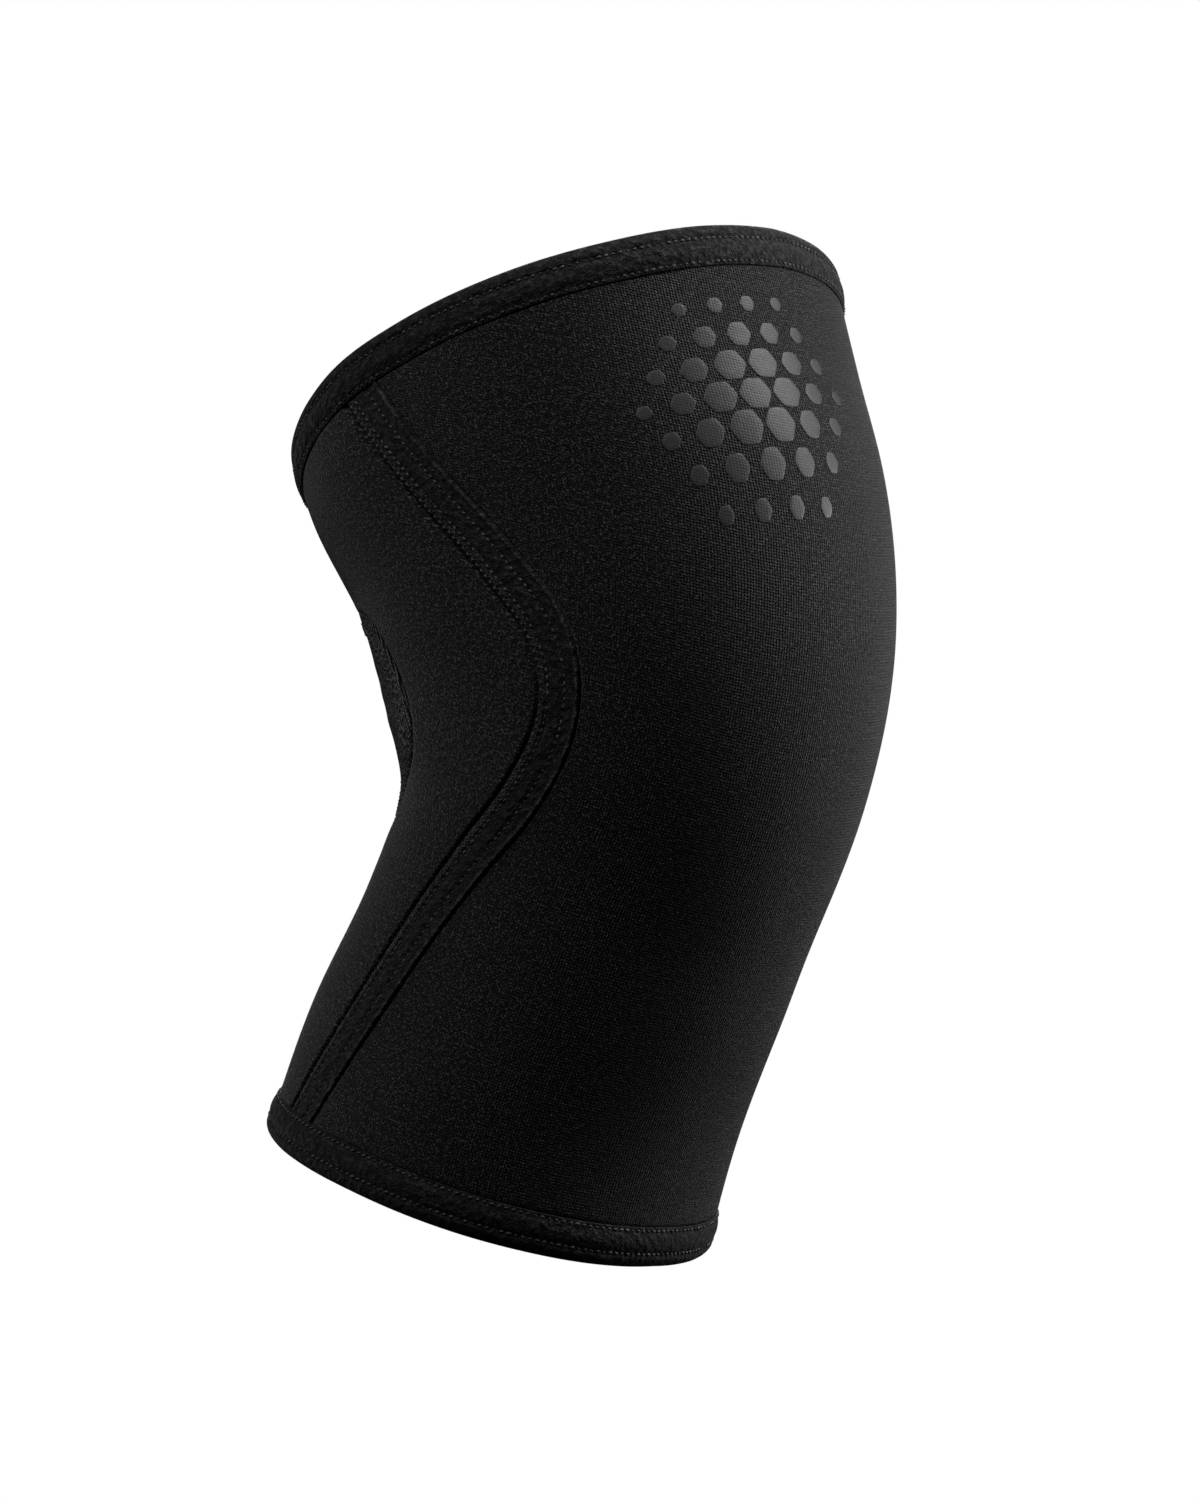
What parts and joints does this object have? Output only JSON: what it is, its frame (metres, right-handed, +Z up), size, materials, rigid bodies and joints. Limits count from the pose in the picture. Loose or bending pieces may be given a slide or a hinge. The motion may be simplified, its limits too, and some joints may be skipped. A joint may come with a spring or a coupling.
{
  "type": "knee sleeve",
  "caption": "Foam-backed knit sleeve for the knee, shaped as when worn: bent tube with taped side seams, an insert behind the knee and bound rims.",
  "frame": {"origin": "centre of the knee, on the sleeve's centre line inside its hollow", "axes": "+Z up the leg from shin to thigh, -Y towards the kneecap side, +Y towards the hollow of the knee, X across; the calf part leans 22.7 degrees and the thigh part 18.3 degrees back from +Z"},
  "size_m": [0.1452, 0.1763, 0.2723],
  "materials": {
    "panel_cloth": "black jersey knit bonded to foam, matt",
    "band_cloth": "black smooth stretch knit, faint sheen",
    "insert_cloth": "black ribbed stretch knit, matt"
  },
  "bodies": {
    "root": {"front_panel": "panel_cloth", "back_panel": "panel_cloth", "knee_hollow_insert": "insert_cloth", "seam_tape_left": "band_cloth", "seam_tape_right": "band_cloth", "top_binding": "band_cloth", "bottom_binding": "band_cloth"}
  },
  "joints": []
}
